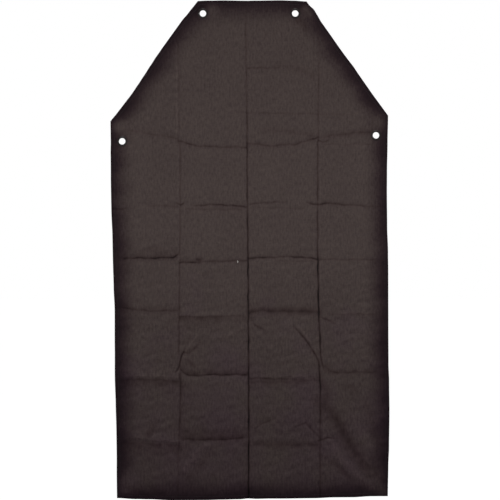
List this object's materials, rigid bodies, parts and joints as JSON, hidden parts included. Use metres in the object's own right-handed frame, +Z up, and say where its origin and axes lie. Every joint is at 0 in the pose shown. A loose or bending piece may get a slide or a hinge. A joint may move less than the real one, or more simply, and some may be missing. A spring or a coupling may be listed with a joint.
{
  "type": "lead apron",
  "caption": "Thin bib-shaped lead apron of dark cloth over lead-loaded vinyl, hung by eyelets at the neck and waist, that folds at upright creases.",
  "frame": {"origin": "midway between the centres of the two neck eyelets, at the middle of the sheet's thickness", "axes": "+Z up along the apron's length, -Y out of its front, +Y towards the wearer, +X to the right of someone who looks at the front"},
  "size_m": [0.6, 0.0045, 1.076],
  "materials": {
    "cover_cloth": "close-woven dark cloth with a dull coating",
    "lining_cloth": "close-woven dark lining",
    "turned_cloth": "the covers' own cloth",
    "lead_vinyl": "dull lead-loaded vinyl",
    "thread": "matching polyester thread",
    "eyelet_black": "black lacquered brass, satin",
    "patch_webbing": "plain webbing"
  },
  "bodies": {
    "left_centre": {"back_cover_left_centre": "lining_cloth", "back_seam_left_centre": "thread", "front_cover_left_centre": "cover_cloth", "front_seam_left_centre": "thread", "grommet_neck_left": "eyelet_black", "lead_ply_back_left_centre": "lead_vinyl", "lead_ply_front_left_centre": "lead_vinyl", "patch_neck_left": "patch_webbing", "turned_allowance_left_centre": "turned_cloth", "washer_neck_left": "eyelet_black"},
    "left_wing": {"back_cover_left_wing": "lining_cloth", "back_seam_left_wing": "thread", "front_cover_left_wing": "cover_cloth", "front_seam_left_wing": "thread", "grommet_waist_left": "eyelet_black", "lead_ply_back_left_wing": "lead_vinyl", "lead_ply_front_left_wing": "lead_vinyl", "patch_waist_left": "patch_webbing", "turned_allowance_left_wing": "turned_cloth", "washer_waist_left": "eyelet_black"},
    "right_centre": {"back_cover_right_centre": "lining_cloth", "back_seam_right_centre": "thread", "front_cover_right_centre": "cover_cloth", "front_seam_right_centre": "thread", "grommet_neck_right": "eyelet_black", "lead_ply_back_right_centre": "lead_vinyl", "lead_ply_front_right_centre": "lead_vinyl", "patch_neck_right": "patch_webbing", "turned_allowance_right_centre": "turned_cloth", "washer_neck_right": "eyelet_black"},
    "right_wing": {"back_cover_right_wing": "lining_cloth", "back_seam_right_wing": "thread", "front_cover_right_wing": "cover_cloth", "front_seam_right_wing": "thread", "grommet_waist_right": "eyelet_black", "lead_ply_back_right_wing": "lead_vinyl", "lead_ply_front_right_wing": "lead_vinyl", "patch_waist_right": "patch_webbing", "turned_allowance_right_wing": "turned_cloth", "washer_waist_right": "eyelet_black"}
  },
  "joints": [
    {"name": "left_crease", "type": "hinge", "parent": "left_centre", "child": "left_wing", "pos_m": [-0.151, -0.0035, -0.5], "axis": [0, 0, 1], "range_deg": [-60, 179.9], "stiffness_Nm_per_rad": 0.03},
    {"name": "centre_crease", "type": "hinge", "parent": "left_centre", "child": "right_centre", "pos_m": [-0.003, -0.011, -0.5], "axis": [0, 0, -1], "range_deg": [-15, 179.9], "stiffness_Nm_per_rad": 0.03},
    {"name": "right_crease", "type": "hinge", "parent": "right_centre", "child": "right_wing", "pos_m": [0.15, -0.0035, -0.5], "axis": [0, 0, -1], "range_deg": [-60, 179.9], "stiffness_Nm_per_rad": 0.03}
  ]
}
